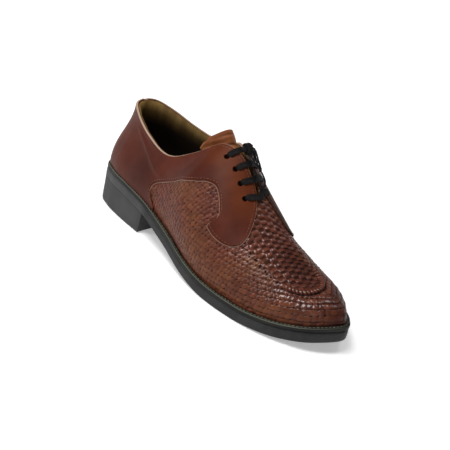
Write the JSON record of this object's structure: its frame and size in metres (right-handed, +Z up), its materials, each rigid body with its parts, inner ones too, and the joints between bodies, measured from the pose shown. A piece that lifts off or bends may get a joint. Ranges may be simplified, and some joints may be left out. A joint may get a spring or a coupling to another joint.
{
  "type": "blucher shoe",
  "caption": "Right lace-up blucher shoe with a woven leather upper, smooth leather quarters, raised apron seam, flat laces and a heeled rubber sole.",
  "frame": {"origin": "on the floor under the middle of the shoe's box", "axes": "+X from the heel to the toe, +Y to the inside of the foot, +Z up"},
  "size_m": [0.2874, 0.0976, 0.1166],
  "materials": {
    "woven_leather": "polished woven strips",
    "smooth_leather": "polished smooth",
    "tongue_leather": "soft, creased",
    "insole_leather": "matt",
    "welt_rubber": "matt",
    "sole_rubber": "satin",
    "heel_rubber": "satin",
    "lace_cotton": "waxed"
  },
  "bodies": {
    "root": {"upper": "woven_leather", "quarter_lateral": "smooth_leather", "quarter_medial": "smooth_leather", "tongue": "tongue_leather", "insole": "insole_leather", "welt": "welt_rubber", "outsole": "sole_rubber", "heel": "heel_rubber", "lace_bar_1": "lace_cotton", "lace_bar_2": "lace_cotton", "lace_bar_3": "lace_cotton", "lace_bar_4": "lace_cotton", "lace_knot": "lace_cotton", "lace_loop_long": "lace_cotton", "lace_loop_short": "lace_cotton", "lace_end_upper": "lace_cotton", "lace_end_lower": "lace_cotton"}
  },
  "joints": []
}
